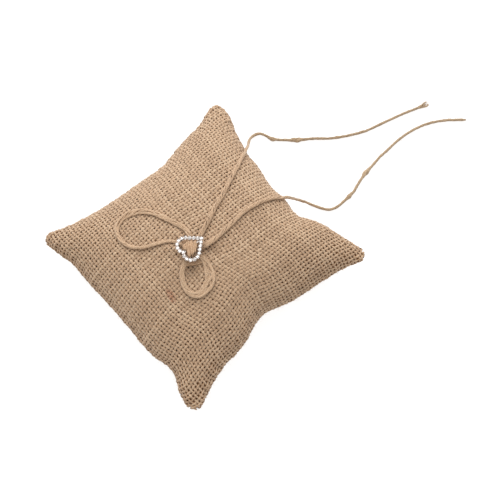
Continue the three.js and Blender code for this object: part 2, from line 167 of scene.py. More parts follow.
RIGHT_TAIL_ROUTE = [
    (0.0068, -0.0082), (0.0088, -0.003), (0.0093, 0.005), (0.0085, 0.014), (0.0078, 0.021),
    (0.0069, 0.03), (0.0075, 0.0391), (0.0081, 0.0447), (0.0094, 0.0502), (0.0105, 0.054),
    (0.0116, 0.057), (0.0123, 0.06, 0.023), (0.0129, 0.0634, 0.0175), (0.014, 0.0674, 0.0105),
    (0.0155, 0.0708, 0.0055), (0.0176, 0.0734, 0.0024), (0.0245, 0.0769, FLOOR),
    (0.029, 0.0794, FLOOR), (0.0326, 0.0825, FLOOR), (0.0342, 0.087, FLOOR), (0.0344, 0.094, FLOOR),
    (0.0338, 0.103, FLOOR), (0.0316, 0.11, FLOOR), (0.0296, 0.1185, FLOOR), (0.0286, 0.126, FLOOR),
    (0.0275, 0.134, FLOOR), (0.0273, 0.142, FLOOR), (0.027, 0.1545, FLOOR), (0.0289, 0.1685, FLOOR),
    (0.0332, 0.18, FLOOR), (0.0391, 0.1892, FLOOR), (0.0477, 0.199, FLOOR),
]


# ---- small helpers


def unit(vectors):
    return vectors / np.maximum(np.linalg.norm(vectors, axis=-1, keepdims=True), 1e-12)


def wander(rng, places, wavelength, rows=1):
    """Smooth random waves along places, one row for each of rows, roughly from -1 to 1."""
    total = 0
    for share in (0.5, 0.31, 0.19):
        length = wavelength * rng.uniform(0.6, 1.5, (rows, 1)) * (share + 0.5)
        phase = rng.uniform(0, 2 * np.pi, (rows, 1))
        total = total + share * np.sin(2 * np.pi * places / length + phase)
    return 1.4 * total


def hump(x, middle, reach):
    """1 at the middle, fading to nothing on both sides of it."""
    return np.exp(-((x - middle) / reach) ** 2)


def metres_along(path):
    """How far along a path each of its points lies."""
    steps = np.linalg.norm(np.diff(path, axis=0), axis=1)
    return np.concatenate([[0], np.cumsum(steps)])


def respaced(path, count):
    """The same path as count points, spread evenly along it."""
    metres = metres_along(path)
    places = np.linspace(0, metres[-1], count)
    return np.stack([np.interp(places, metres, values) for values in path.T], -1)


def square_grid(reach, cells):
    """The u and v of a square grid of points, both from -reach to reach."""
    line = np.linspace(-reach, reach, cells + 1)
    return np.meshgrid(line, line, indexing="ij")


def grid_faces(number, up=True):
    """The faces of a grid, from the numbers of its points. They look up, or else down."""
    corners = np.stack([number[:-1, :-1], number[1:, :-1], number[1:, 1:], number[:-1, 1:]], -1)
    corners = corners.reshape(-1, 4)
    return corners if up else corners[:, ::-1]


def sewn(top, bottom, inside):
    """Two grids that share the points outside inside: points, faces, and both grids' numbers."""
    upper = np.arange(inside.size).reshape(inside.shape)
    lower = upper.copy()
    lower[inside] = inside.size + np.arange(inside.sum())
    points = np.concatenate([top.reshape(-1, 3), bottom[inside]])
    faces = np.concatenate([grid_faces(upper), grid_faces(lower, up=False)])
    return points, faces.tolist(), upper, lower


def around(sides):
    """The angles of points spread evenly round a circle."""
    return 2 * np.pi * np.arange(sides) / sides


def rings_round(path, side, lift, beside, above, sides):
    """Rings of points round a path, which reach as far beside it and above it as the two say."""
    angle = around(sides)
    return (
        path[..., None, :]
        + (beside * np.cos(angle))[..., None] * side[..., None, :]
        + (above * np.sin(angle))[..., None] * lift[..., None, :]
    )


def smooth_mesh(name, points, faces):
    mesh = bpy.data.meshes.new(name)
    mesh.from_pydata(points.tolist(), [], faces)
    mesh.polygons.foreach_set("use_smooth", np.ones(len(mesh.polygons), bool))
    mesh.update()
    return mesh


STRIP_EDGE = 0.06  # room at each side of a tube's strip in the texture
STRIP_END = 0.002
PATTERN_SHIFT = 0.0173  # each tube's fibres start this much further on in the pattern


def tube_mesh(name, tubes, tints, sunk=None):
    """A mesh of tubes: each is an array of rings x sides x 3. UVs: a strip each, and millimetres.

    sunk tells how deep each point lies between its neighbours, from 0 to 1; the materials paint shade
    by it, darker where it is deeper."""
    quads, caps, strips, fibres = [], [], [], []
    first = 0
    for number, rings in enumerate(tubes):
        count, sides = rings.shape[:2]
        ring, side = np.meshgrid(np.arange(count - 1), np.arange(sides), indexing="ij")
        ring = np.stack([ring, ring + 1, ring + 1, ring], -1).reshape(-1, 4)
        side = np.stack([side, side, side + 1, side + 1], -1).reshape(-1, 4)
        quads.append(first + ring * sides + side % sides)
        caps.append(first + np.arange(sides))
        caps.append(first + (count - 1) * sides + np.arange(sides)[::-1])
        strip_u = STRIP_END + (1 - 2 * STRIP_END) * ring / (count - 1)
        strip_v = (number + STRIP_EDGE + (1 - 2 * STRIP_EDGE) * side / sides) / len(tubes)
        strips.append(np.stack([strip_u, strip_v], -1))
        metres = metres_along(rings.mean(1))
        girth = np.linalg.norm(np.diff(rings[count // 2], axis=0), axis=1).sum()
        fibre_v = side / sides * girth + number * PATTERN_SHIFT
        fibres.append(1000 * np.stack([metres[ring], fibre_v], -1))
        first += count * sides
    faces = np.concatenate(quads).tolist() + [cap.tolist() for cap in caps]
    mesh = smooth_mesh(name, np.concatenate([rings.reshape(-1, 3) for rings in tubes]), faces)
    ends = np.full((sum(len(cap) for cap in caps), 2), 0.001)
    for layer_name, values in (("OFBake", strips), ("yarn", fibres)):
        values = np.concatenate(values).reshape(-1, 2)
        layer = mesh.uv_layers.new(name=layer_name)
        layer.data.foreach_set("uv", np.concatenate([values, ends]).ravel())
    shades = np.repeat(tints, [rings.shape[0] * rings.shape[1] for rings in tubes])
    mesh.attributes.new("tint", "FLOAT", "POINT").data.foreach_set("value", shades)
    depths = 0 * shades if sunk is None else np.concatenate([np.ravel(depth) for depth in sunk])
    mesh.attributes.new("sunk", "FLOAT", "POINT").data.foreach_set("value", np.clip(depths, 0, 1))
    return mesh


def piece(name, mesh, body, look, stands_for=None):
    """An object of one material that rides on a body and may stand for one of the CAD pieces."""
    thing = bpy.data.objects.new(name, mesh)
    bpy.context.collection.objects.link(thing)
    mesh.materials.append(look)
    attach(thing, body)
    if stands_for:
        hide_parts(stands_for)
    return thing


# ---- shape of the cushion


def pull_in(side, s):
    """How far a side stands in from the straight line between its corners, at place s on it."""
    bow, puckers = side
    return EDGE_INSET * (1 - s ** 8) + bow * (1 - s * s) + sum(
        depth * hump(s, at, reach) for depth, at, reach in puckers)


def plan_point(u, v):
    """Where cloth coordinates u and v, from -1 to 1 between opposite seams, lie from above."""
    longest = np.maximum(np.abs(u), np.abs(v))
    rim = (np.abs(u) ** CORNER_SHARPNESS + np.abs(v) ** CORNER_SHARPNESS) ** (1 / CORNER_SHARPNESS)
    shrink = 1 + (longest / np.maximum(rim, 1e-9) - 1) * longest ** 6
    u, v = u * shrink, v * shrink
    side_x = np.where(u > 0, pull_in(SIDES["right"], v), pull_in(SIDES["left"], v))
    side_y = np.where(v > 0, pull_in(SIDES["back"], u), pull_in(SIDES["front"], u))
    return HALF_SIDE * u - np.sign(u) * u * u * side_x, HALF_SIDE * v - np.sign(v) * v * v * side_y


def start_shape(u, v):
    """The two panels before inflation, a little domed, and which of their points are on the seam."""
    x, y = plan_point(u, v)
    full = np.sqrt(np.clip(1 - u * u, 0, 1) * np.clip(1 - v * v, 0, 1))
    top = np.stack([x, y, SEAM_HEIGHT + TOP_START * full], -1)
    bottom = np.stack([x, y, SEAM_HEIGHT - BELLY_START * full], -1)
    return top, bottom, (np.abs(u) > 0.9999) | (np.abs(v) > 0.9999)


SIM_CELLS = 60
SIM_SCALE = 10  # Blender's cloth is steadier on things a metre or so across
SIM_FRAMES = 40
SEAM_HOLD = 0.8  # how firmly the seam keeps its place, where the corners have 1
CUT_GAP = 0.0005  # from the flat cut cloth to the seam's plane
CLOTH = {
    "quality": 8, "mass": 0.3, "tension_stiffness": 40, "compression_stiffness": 25,
    "shear_stiffness": 4, "bending_stiffness": 1, "tension_damping": 15, "compression_damping": 15,
    "shear_damping": 10, "air_damping": 3, "use_pressure": True, "uniform_pressure_force": 6,
    "vertex_group_mass": "held", "pin_stiffness": 4,
}


def inflate():
    """The two panels' grids after Blender's cloth has blown up the sewn bag with a flat cut."""
    u, v = square_grid(1, SIM_CELLS)
    top, bottom, seam = start_shape(u, v)
    cut_top = np.stack([u * CUT_SIDE / 2, v * CUT_SIDE / 2, np.where(seam, 0, CUT_GAP)], -1)
    flat, _, _, _ = sewn(cut_top, cut_top * (1, 1, -1), ~seam)
    points, faces, top_number, bottom_number = sewn(top, bottom, ~seam)
    bag = bpy.data.objects.new("bag", smooth_mesh("bag", points * SIM_SCALE, faces))
    bpy.context.collection.objects.link(bag)
    bag.shape_key_add(name="start")
    cut = bag.shape_key_add(name="cut")
    cut.data.foreach_set("co", (flat * SIM_SCALE).ravel())
    held = bag.vertex_groups.new(name="held")
    held.add(top_number[seam].tolist(), SEAM_HOLD, "REPLACE")
    held.add(top_number[[0, 0, -1, -1], [0, -1, 0, -1]].tolist(), 1.0, "REPLACE")
    set_cloth(bag.modifiers.new("cloth", "CLOTH"), cut)
    result = simulated(bag, len(points))
    return result[top_number], result[bottom_number]


def set_cloth(cloth, cut):
    for name, value in CLOTH.items():
        setattr(cloth.settings, name, value)
    cloth.settings.rest_shape_key = cut
    cloth.settings.effector_weights.gravity = 0
    cloth.collision_settings.use_collision = False
    cloth.point_cache.frame_start = 1
    cloth.point_cache.frame_end = SIM_FRAMES


def simulated(bag, count):
    """The bag's points when its simulation has run. The bag itself is removed."""
    scene = bpy.context.scene
    for number in range(1, SIM_FRAMES + 1):
        scene.frame_set(number)
    shown = bag.evaluated_get(bpy.context.evaluated_depsgraph_get())
    points = np.empty(count * 3)
    shown.data.vertices.foreach_get("co", points)
    bpy.data.objects.remove(bag)
    scene.frame_set(1)
    return points.reshape(-1, 3) / SIM_SCALE


NORMAL_STEP = 0.004  # in u and v, to either side of a point whose slope is wanted


class Surface:
    """A smooth sheet through a grid of points, u and v from -reach to reach. It faces up or down."""

    def __init__(self, grid, up, reach=1.0):
        self.cells = grid.shape[0] - 1
        self.up = up
        self.reach = reach
        padded = np.zeros((self.cells + 3, self.cells + 3, 3))
        padded[1:-1, 1:-1] = grid
        padded[0] = 2 * padded[1] - padded[2]
        padded[-1] = 2 * padded[-2] - padded[-3]
        padded[:, 0] = 2 * padded[:, 1] - padded[:, 2]
        padded[:, -1] = 2 * padded[:, -2] - padded[:, -3]
        self.grid = padded

    def at(self, u, v):
        u, v = np.broadcast_arrays(u, v)
        spots = []
        for value in (u, v):
            place = np.clip((value / self.reach + 1) / 2, 0, 1) * self.cells
            cell = np.minimum(place.astype(int), self.cells - 1)
            t = (place - cell)[..., None]
            weights = np.concatenate([
                -0.5 * t + t ** 2 - 0.5 * t ** 3, 1 - 2.5 * t ** 2 + 1.5 * t ** 3,
                0.5 * t + 2 * t ** 2 - 1.5 * t ** 3, -0.5 * t ** 2 + 0.5 * t ** 3,
            ], -1)
            spots.append((cell, weights))
        (i, wu), (j, wv) = spots
        total = 0
        for a in range(4):
            for b in range(4):
                total = total + (wu[..., a] * wv[..., b])[..., None] * self.grid[i + a, j + b]
        return total

    def normal(self, u, v):
        """The direction out of the cushion."""
        limit = self.reach - NORMAL_STEP
        u, v = np.clip(u, -limit, limit), np.clip(v, -limit, limit)
        along_u = self.at(u + NORMAL_STEP, v) - self.at(u - NORMAL_STEP, v)
        along_v = self.at(u, v + NORMAL_STEP) - self.at(u, v - NORMAL_STEP)
        return unit(np.cross(along_u, along_v)) * (1 if self.up else -1)


FINE_CELLS = 240
REACH = 1 + 2 * FOLD_CELLS / FINE_CELLS
TABLE_CURVE = 0.0012  # height over which the underside eases off the table
PUCKER_DEPTH = 0.0007
PUCKER_LENGTH = 0.011
PUCKER_FADE = 0.008
PUCKER_START = 0.002  # puckers grow to their depth over this distance from the seam
DIMPLE_DEPTH = 0.0005  # where the tacking stitch draws the cloth down under the knot
DIMPLE_REACH = 0.011
CREASES = 7
CREASE_DEPTH = 0.0007
CREASE_BEND = 1.1  # how unevenly the creases are spread round the knot
CREASE_MIDDLE = 0.012  # from the knot to a crease's deepest place
CREASE_REACH = 0.006


def levelled(grid, up):
    """One panel scaled to its height in the CAD model, with the underside laid on the table."""
    grid = grid.copy()
    rise = grid[..., 2] - SEAM_HEIGHT
    if up:
        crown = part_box("top_panel")[1].z - HALF_CLOTH - SEAM_HEIGHT - SEAM_ROOM
        grid[..., 2] = SEAM_HEIGHT + SEAM_ROOM + rise * crown / rise.max()
    else:
        deep = SEAM_HEIGHT - SEAM_ROOM + rise * (BELLY_START / -rise.min())
        eased = np.logaddexp(0, (deep - HALF_CLOTH) / TABLE_CURVE)
        grid[..., 2] = HALF_CLOTH + TABLE_CURVE * eased
    return grid


def evened(grid):
    """The same sheet, with its points spread evenly along every one of its lines."""
    for axis in (0, 1, 0, 1):
        lines = np.moveaxis(grid, axis, 1).copy()
        for line in lines:
            line[:] = respaced(line, len(line))
        grid = np.moveaxis(lines, 1, axis)
    return grid


def finished(grid, up, rng):
    """The middle of one burlap panel, puckered at the seam, tacked, and turned in at its edges."""
    u, v = square_grid(1, FINE_CELLS)
    fine = evened(Surface(levelled(grid, up), up).at(u, v))
    normal = Surface(fine, up).normal(u, v)
    for distance, place in ((1 - np.abs(u), v), (1 - np.abs(v), u)):
        metres = distance * CUT_SIDE / 2
        waves = wander(rng, place * CUT_SIDE / 2, PUCKER_LENGTH)
        near = np.exp(-metres / PUCKER_FADE) * np.minimum(1, metres / PUCKER_START)
        fine = fine + (PUCKER_DEPTH * waves * near)[..., None] * normal
    if up:
        fine[..., 2] -= gathering(fine[..., 0], fine[..., 1])
    for axis in (0, 1):
        fine = np.moveaxis(fine, axis, 0)
        first = over_the_seam(fine[0], fine[0] - fine[1], up)
        last = over_the_seam(fine[-1], fine[-1] - fine[-2], up)
        fine = np.moveaxis(np.concatenate([first[::-1], fine, last]), 0, axis)
    return Surface(fine, up, REACH)


def gathering(x, y):
    """How far the tacked knot draws the cloth down round it, with creases that run out from it."""
    away = np.hypot(x - HEART_MIDDLE[0], y - HEART_MIDDLE[1])
    angle = np.arctan2(y - HEART_MIDDLE[1], x - HEART_MIDDLE[0])
    creases = np.cos(CREASES * angle + CREASE_BEND * np.sin(2 * angle))
    creases = creases * hump(away, CREASE_MIDDLE, CREASE_REACH)
    return DIMPLE_DEPTH * hump(away, 0, DIMPLE_REACH) + CREASE_DEPTH * creases


def over_the_seam(edge, leaving, up):
    """Rows of points past an edge of a panel, which bend over the seam and turn in."""
    down = np.array([0, 0, -1.0 if up else 1.0])
    outward = unit(leaving * (1, 1, 0))
    steep = np.arctan2((leaving * down).sum(-1), (leaving * outward).sum(-1))
    past = np.arange(1, FOLD_CELLS + 1)[:, None] * CUT_SIDE / FINE_CELLS
    bend = np.minimum(steep + past / FOLD_RADIUS, np.pi)
    inward = np.maximum(past - (np.pi - steep) * FOLD_RADIUS, 0)
    reach = FOLD_RADIUS * (np.sin(bend) - np.sin(steep)) - inward
    drop = FOLD_RADIUS * (np.cos(steep) - np.cos(bend))
    return edge + reach[..., None] * outward + drop[..., None] * down


rng = np.random.default_rng(11)
blown_top, blown_bottom = inflate()
top_cloth = finished(blown_top, True, rng)
bottom_cloth = finished(blown_bottom, False, rng)
PANELS = (("top", top_cloth), ("bottom", bottom_cloth))

# ---- weave

YARN_DRIFT = 0.08  # how far a yarn strays sideways, in spaces between two yarns
YARN_OFFSET = 0.06
YARN_SPREAD = 0.07  # how much wider or narrower than the others a yarn may be
YARN_SWELL = 0.1  # how much a yarn swells and thins along its way
DRIFT_LENGTH = 0.012
WIDTH_LENGTH = 0.008
THICKNESS_LENGTH = 0.006


def slackness(u, v):
    """Where the weave has opened: at the corners but the back left one, and on the right side."""
    back_left = np.clip((v - u) / 2, 0, 1)
    return np.abs(u * v) * (1 - back_left) + 0.4 * np.where(u > 0, u * u, 0)


def woven(name, cloth, along_u, rng):
    """The yarns that run one way in one panel, each from one turned-in edge to the other."""
    pitch = 2 / THREADS
    number = np.arange(-FOLDED_YARNS, THREADS + FOLDED_YARNS)[:, None]
    centre = -1 + (number + 0.5) * pitch
    reach = np.where(np.abs(centre) < 1, REACH, FOLDED_REACH)
    along = reach * np.linspace(-1, 1, round(THREADS * YARN_SAMPLES * REACH) + 1)
    metres = along * CUT_SIDE / 2
    count = len(centre)
    across = centre + YARN_DRIFT * pitch * wander(rng, metres, DRIFT_LENGTH, count)
    across = across + YARN_OFFSET * pitch * rng.uniform(-1, 1, (count, 1))
    u, v = (along, across) if along_u else (across, along)
    normal = cloth.normal(u, v)
    crossing = (along + 1) * THREADS / 2 - 0.5
    parity = (-1.0) ** number * (1 if along_u else -1)
    swing = WAVE * parity * np.cos(np.pi * crossing)
    path = cloth.at(u, v) + swing[..., None] * normal
    heading = unit(np.gradient(path, axis=1))
    side = unit(np.cross(heading, normal))
    lift = np.cross(side, heading)
    width = YARN_WIDTH * (1 + YARN_SPREAD * rng.uniform(-1, 1, (count, 1)))
    width = width * (1 + YARN_SWELL * wander(rng, metres, WIDTH_LENGTH, count))
    width = width * (1 - SLACK * slackness(u, v))
    thick = YARN_THICKNESS * (1 + YARN_SWELL * wander(rng, metres, THICKNESS_LENGTH, count))
    beside, above = (width / 2)[..., None], (thick / 2)[..., None]
    rings = rings_round(path, side, lift, beside, above, YARN_SIDES)
    height = swing[..., None] + above * np.sin(around(YARN_SIDES))
    # Yarn points that lie low in the weave get more painted shade.
    return tube_mesh(name, list(rings), rng.uniform(-1, 1, count), 0.5 - height / HALF_CLOTH)


# ---- materials

BUMP_HEIGHT = 0.0002


class Nodes:
    """A material's node tree, with short calls to add a node and to join two sockets."""

    def __init__(self, name, **shader_values):
        self.material = bpy.data.materials.new(name)
        self.material.use_nodes = True
        self.tree = self.material.node_tree
        self.shader = self.tree.nodes["Principled BSDF"]
        for socket, value in shader_values.items():
            self.shade(socket.replace("_", " "), value)

    def add(self, kind, inputs=None, **properties):
        node = self.tree.nodes.new("ShaderNode" + kind)
        for key, value in properties.items():
            setattr(node, key, value)
        for key, value in (inputs or {}).items():
            self.give(node.inputs[key], value)
        return node

    def give(self, socket, value):
        if hasattr(value, "is_output"):
            self.tree.links.new(value, socket)
        else:
            socket.default_value = value

    def shade(self, socket, value):
        self.give(self.shader.inputs[socket], value)

    def noise(self, scale, detail, **inputs):
        return self.add("TexNoise", {"Scale": scale, "Detail": detail, **inputs}).outputs["Fac"]

    def place(self):
        return self.add("TexCoord").outputs["Object"]

    def attribute(self, name):
        return self.add("Attribute", attribute_name=name).outputs["Fac"]

    def ramp(self, source, *stops):
        node = self.add("ValToRGB", {"Fac": source})
        while len(node.color_ramp.elements) < len(stops):
            node.color_ramp.elements.new(0.5)
        for element, (place, colour) in zip(node.color_ramp.elements, stops):
            element.position = place
            element.color = colour
        return node.outputs["Color"]

    def mix(self, share, a, b, blend="MIX"):
        node = self.add("Mix", data_type="RGBA", blend_type=blend)
        self.give(node.inputs["Factor"], share)
        self.give(node.inputs["A"], a)
        self.give(node.inputs["B"], b)
        return node.outputs["Result"]

    def times(self, colour, factor):
        return self.mix(1.0, colour, factor, "MULTIPLY")

    def math(self, operation, *values):
        node = self.add("Math", operation=operation)
        for socket, value in zip(node.inputs, values):
            self.give(socket, value)
        return node.outputs[0]

    def bump(self, height, strength):
        node = self.add("Bump", {"Height": height, "Strength": strength, "Distance": BUMP_HEIGHT})
        self.shade("Normal", node.outputs["Normal"])


def rgb(code):
    """A colour from its usual hexadecimal code, as the linear values that shaders take."""
    parts = [int(code[i:i + 2], 16) / 255 for i in (1, 3, 5)]
    return tuple(c / 12.92 if c <= 0.04045 else ((c + 0.055) / 1.055) ** 2.4 for c in parts) + (1,)


def grey(level):
    return (level, level, level, 1)


BLACK = grey(0)
WHITE = grey(1)
# Painted shade: the colour is multiplied by this where a yarn or strand lies deep among its neighbours
# or on its lower side.
CREVICE_SHADE = (1.0, 0.76, 0.5, 1)  # what the colour is multiplied by deep between the yarns
CLOUD_DARK = (0.86, 0.84, 0.82, 1)
CLOUD_LIGHT = grey(1.06)
STREAK_COLOUR = rgb("#8c5638")
STREAK_MIDDLE = (0.0174, -0.039, 0.0379)
STREAK_REACH = (0.0062, 0.0025, 0.006)
STREAK_TURN = -0.2
OFF_CUSHION_TONE = (0.83, 0.88, 0.87, 1)
OFF_CUSHION_PLACE = (0.055, 0.08)  # where it starts and where it is full, along y


def red_streak(nodes, colour):
    """A finger's width of reddish fibre in the cloth, left of the lower loop."""
    inside = nodes.add("Mapping", {
        "Vector": nodes.place(), "Location": STREAK_MIDDLE, "Rotation": (0, 0, STREAK_TURN),
        "Scale": STREAK_REACH,
    }, vector_type="TEXTURE").outputs["Vector"]
    nearness = nodes.add("TexGradient", {"Vector": inside}, gradient_type="SPHERICAL")
    patches = nodes.noise(170.0, 2.0)
    share = nodes.math("MULTIPLY", nodes.ramp(nearness.outputs["Fac"], (0.0, BLACK), (0.4, grey(0.7))),
                       nodes.ramp(patches, (0.4, grey(0.25)), (0.55, WHITE)))
    return nodes.mix(share, colour, STREAK_COLOUR)


def darker_off_cushion(nodes, colour):
    """The tails are darker and greyer beyond the cushion's back edge."""
    back = nodes.add("SeparateXYZ", {"Vector": nodes.place()}).outputs["Y"]
    start, full = OFF_CUSHION_PLACE
    shade = nodes.ramp(nodes.math("MULTIPLY", back, 10.0), (10 * start, WHITE), (10 * full, OFF_CUSHION_TONE))
    return nodes.times(colour, shade)


def jute(name, colours, fibre_scale, softness, marks=None):
    """Spun jute: fine fibres along the yarn, a tint of each yarn, a few reddish flecks, and painted
    shade where the yarn lies deep.
    """
    dark, middle, light, fleck = (rgb(code) for code in colours)
    nodes = Nodes(name, Roughness=0.85, Sheen_Weight=0.25, Sheen_Roughness=0.5)
    place = nodes.add("UVMap", uv_map="yarn").outputs["UV"]
    stretched = nodes.add("Mapping", {"Vector": place, "Scale": (0.35, fibre_scale, 1)})
    fibre = nodes.noise(3.0, 4.0, Vector=stretched.outputs["Vector"], Roughness=0.7)
    colour = nodes.ramp(fibre, (0.5 - softness, dark), (0.5, middle), (0.5 + softness, light))
    level = nodes.math("MULTIPLY_ADD", nodes.attribute("tint"), 0.5, 0.5)
    colour = nodes.mix(0.25, colour, nodes.ramp(level, (0.0, dark), (0.45, middle), (1.0, light)))
    clouds = nodes.ramp(nodes.noise(90.0, 3.0), (0.35, CLOUD_DARK), (0.65, CLOUD_LIGHT))
    colour = nodes.times(colour, clouds)
    # Painted shade: yarns and strands are darker and browner on their deep and lower sides.
    painted_shade = nodes.ramp(nodes.attribute("sunk"), (0.0, WHITE), (0.9, CREVICE_SHADE))
    colour = nodes.times(colour, painted_shade)
    specks = nodes.ramp(nodes.noise(420.0, 1.0), (0.7, BLACK), (0.76, WHITE))
    colour = nodes.mix(specks, colour, fleck)
    if marks:
        colour = marks(nodes, colour)
    nodes.shade("Base Color", colour)
    nodes.bump(fibre, 0.5)
    return nodes.material


def cloth_look(name, dark, light, scale):
    """A fine plain cloth, loose fibre or thread, in two shades."""
    nodes = Nodes(name, Roughness=0.95)
    weave = nodes.noise(scale, 3.0)
    nodes.shade("Base Color", nodes.ramp(weave, (0.3, rgb(dark)), (0.7, rgb(light))))
    nodes.bump(weave, 0.3)
    return nodes.material


# Dark, middle and light fibres, and the flecks
BURLAP_COLOURS = ("#7b5e43", "#b49678", "#d3bda0", "#8f5230")
TWINE_COLOURS = ("#86674b", "#bb9b7b", "#dcc6aa", "#96633f")

BURLAP_LOOK = jute("burlap", BURLAP_COLOURS, 2.6, 0.22, red_streak)
LINING_LOOK = cloth_look("lining", "#8e5f3a", "#ab7c50", 900.0)
FIBRE_LOOK = cloth_look("polyester_fibre", "#cfc8bb", "#f3efe6", 260.0)
THREAD_LOOK = cloth_look("sewing_thread", "#a98c68", "#cdb088", 2400.0)
TWINE_LOOK = jute("jute_twine", TWINE_COLOURS, 1.6, 0.15)
TAIL_LOOK = jute("tail_twine", TWINE_COLOURS, 1.6, 0.15, darker_off_cushion)

# ---- the cushion's pieces

LINING_DEPTH = 0.0012  # from the middle of the burlap in to the lining
LINING = 0.0004
LINING_REACH = 0.998
LINING_CELLS = 90
FILLING_DEPTH = 0.0021
FILLING_REACH = 0.93
FILLING_CELLS = 70
FILLING_LUMPS = 0.0006


def lining_mesh(name, cloth):
    """A closed cloth parallel to a panel, inside it, stopping short of the seam."""
    u, v = square_grid(LINING_REACH, LINING_CELLS)
    middle, normal = cloth.at(u, v), cloth.normal(u, v)
    outer = middle - LINING_DEPTH * normal
    inner = middle - (LINING_DEPTH + LINING) * normal
    number = np.arange(u.size).reshape(u.shape)
    faces = grid_faces(number, cloth.up)
    rim = np.concatenate([number[:-1, 0], number[-1, :-1], number[:0:-1, -1], number[0, :0:-1]])
    following = np.roll(rim, -1)
    wall = np.stack([rim, rim + u.size, following + u.size, following], -1)
    if not cloth.up:
        wall = wall[:, ::-1]
    faces = np.concatenate([faces, faces[:, ::-1] + u.size, wall])
    points = np.concatenate([outer.reshape(-1, 3), inner.reshape(-1, 3)])
    return smooth_mesh(name, points, faces.tolist())


def filling_mesh():
    """Loose fibre that fills the lining: both faces bulge in soft lumps and meet in an edge."""
    u, v = square_grid(FILLING_REACH, FILLING_CELLS)
    lumps = FILLING_LUMPS * (np.sin(31 * u + 3 * v) * np.sin(27 * v - 4 * u) - 1)
    depth = (FILLING_DEPTH - lumps)[..., None]
    top, bottom = (cloth.at(u, v) - depth * cloth.normal(u, v) for _, cloth in PANELS)
    edge = 1 - np.maximum(np.abs(u), np.abs(v)) / FILLING_REACH
    room = np.minimum(1, edge * 6)[..., None]
    middle = (top + bottom) / 2
    top, bottom = middle + (top - middle) * room, middle + (bottom - middle) * room
    points, faces, _, _ = sewn(top, bottom, edge > 1e-6)
    return smooth_mesh("fibre_mass", points, faces)


def add_cushion(rng):
    for panel, cloth in PANELS:
        for way, along_u in (("warp", True), ("weft", False)):
            name = f"burlap_{way}_{panel}"
            yarns = woven(name, cloth, along_u, rng)
            piece(name, yarns, "pillow", BURLAP_LOOK, f"{panel}_panel")
    for panel, cloth in PANELS:
        name = f"lining_cloth_{panel}"
        piece(name, lining_mesh(name, cloth), "pillow", LINING_LOOK, f"lining_{panel}")
    filling = piece("fibre_mass", filling_mesh(), "pillow", FIBRE_LOOK, "fibre_filling")
    for node in ("seam_stitching", "closing_stitching", "tack_stitch"):
        thread = frame["nodes"][node].data
        thread.materials.clear()
        thread.materials.append(THREAD_LOOK)


add_cushion(rng)

# ---- twine

SPAN_POINTS = 24  # points of a curve from one point of its route to the next
LAID_PASSES = 6  # how many times a twine's height is smoothed along it
STRAND_SIDES = 9
RIDGES = 0.06  # how far a strand is from round
RIDGE_LENGTH = 0.006
SLUB_SPACING = 0.09  # from one thick place in a strand to the next, on average
SLUB_LENGTH = 0.0022
SLUB_SWELL = 0.45
STRAND_SWELL = 0.18  # how much a strand swells and thins along its way
STRAND_WAVES = 0.014  # length of those swellings
TURN_WAVES = 0.03  # and of the winding's unevenness
PLACE_WAVES = 0.02  # and of a strand's own in its place among the others
END_TAPER = 0.002
LUMP_LENGTH = 0.0025
CUT_END = (0.003, 0.0001)  # the length over which an end comes apart, and how far
FRAYED_END = (0.009, 0.0019)
TAIL_DEPTH = 0.0019
TAIL_TINT = -0.6  # the tails are a little browner than the loops
UPPER_LUMPS = (0.13, 0.144, 0.148)  # along the tail from the knot, where fibres have bunched
RIGHT_LUMPS = (0.135, 0.154, 0.157)

# Places along each twine, from 0 at the knot to 1 at the other end, and its widths there
LEFT_WIDTHS = [0, 0.1, 0.3, 0.45, 0.6, 1], [0.0026, 0.0032, 0.0034, 0.0042, 0.0023, 0.002]
LOWER_WIDTHS = ([0, 0.15, 0.4, 0.5, 0.62, 0.75, 0.9, 1],
                [0.003, 0.0031, 0.0034, 0.0044, 0.0062, 0.0062, 0.0036, 0.0024])
TAIL_WIDTHS = [0, 0.02, 0.25, 0.36, 1], [0.0024, 0.0031, 0.0027, 0.0019, 0.0018]


def outside_of_top():
    """A tree of the burlap's upper face, for finding what lies under a point."""
    u, v = square_grid(1.01, FINE_CELLS)
    points = top_cloth.at(u, v) + HALF_CLOTH * top_cloth.normal(u, v)
    faces = grid_faces(np.arange(u.size).reshape(u.shape))
    return BVHTree.FromPolygons(points.reshape(-1, 3).tolist(), faces.tolist())


BURLAP_FACE = outside_of_top()


def resting_height(x, y, radius):
    """Height of the middle of something round that rests at (x, y), on the cushion or the table."""
    hit, normal, _, _ = BURLAP_FACE.ray_cast(Vector((x, y, 0.2)), Vector((0, 0, -1)))
    if hit is None:
        return FLOOR
    return hit.z + radius / max(abs(normal.z), 0.45)


def catmull(points):
    """Points along the centripetal curve that the CAD model's tubes follow."""
    points = np.array(points, float)
    points = np.vstack([2 * points[0] - points[1], points, 2 * points[-1] - points[-2]])
    t = np.linspace(0, 1, SPAN_POINTS, endpoint=False)[:, None]
    spans = []
    for a, b, c, d in zip(points, points[1:], points[2:], points[3:]):
        ab, bc, cd = (np.sqrt(np.linalg.norm(q - p)) for p, q in ((a, b), (b, c), (c, d)))
        start = (b - a) / ab - (c - a) / (ab + bc) + (c - b) / bc
        end = (c - b) / bc - (d - b) / (bc + cd) + (d - c) / cd
        start, end = start * bc, end * bc
        spans.append((2 * t ** 3 - 3 * t ** 2 + 1) * b + (t ** 3 - 2 * t ** 2 + t) * start
                     + (3 * t ** 2 - 2 * t ** 3) * c + (t ** 3 - t ** 2) * end)
    return np.vstack([*spans, points[-2:-1]])


def evenly(path, step):
    return respaced(path, max(8, round(metres_along(path)[-1] / step)) + 1)


def smoothed(values, passes):
    for _ in range(passes):
        middle = (values[:-2] + 2 * values[1:-1] + values[2:]) / 4
        values = np.concatenate([values[:1], middle, values[-1:]])
    return values


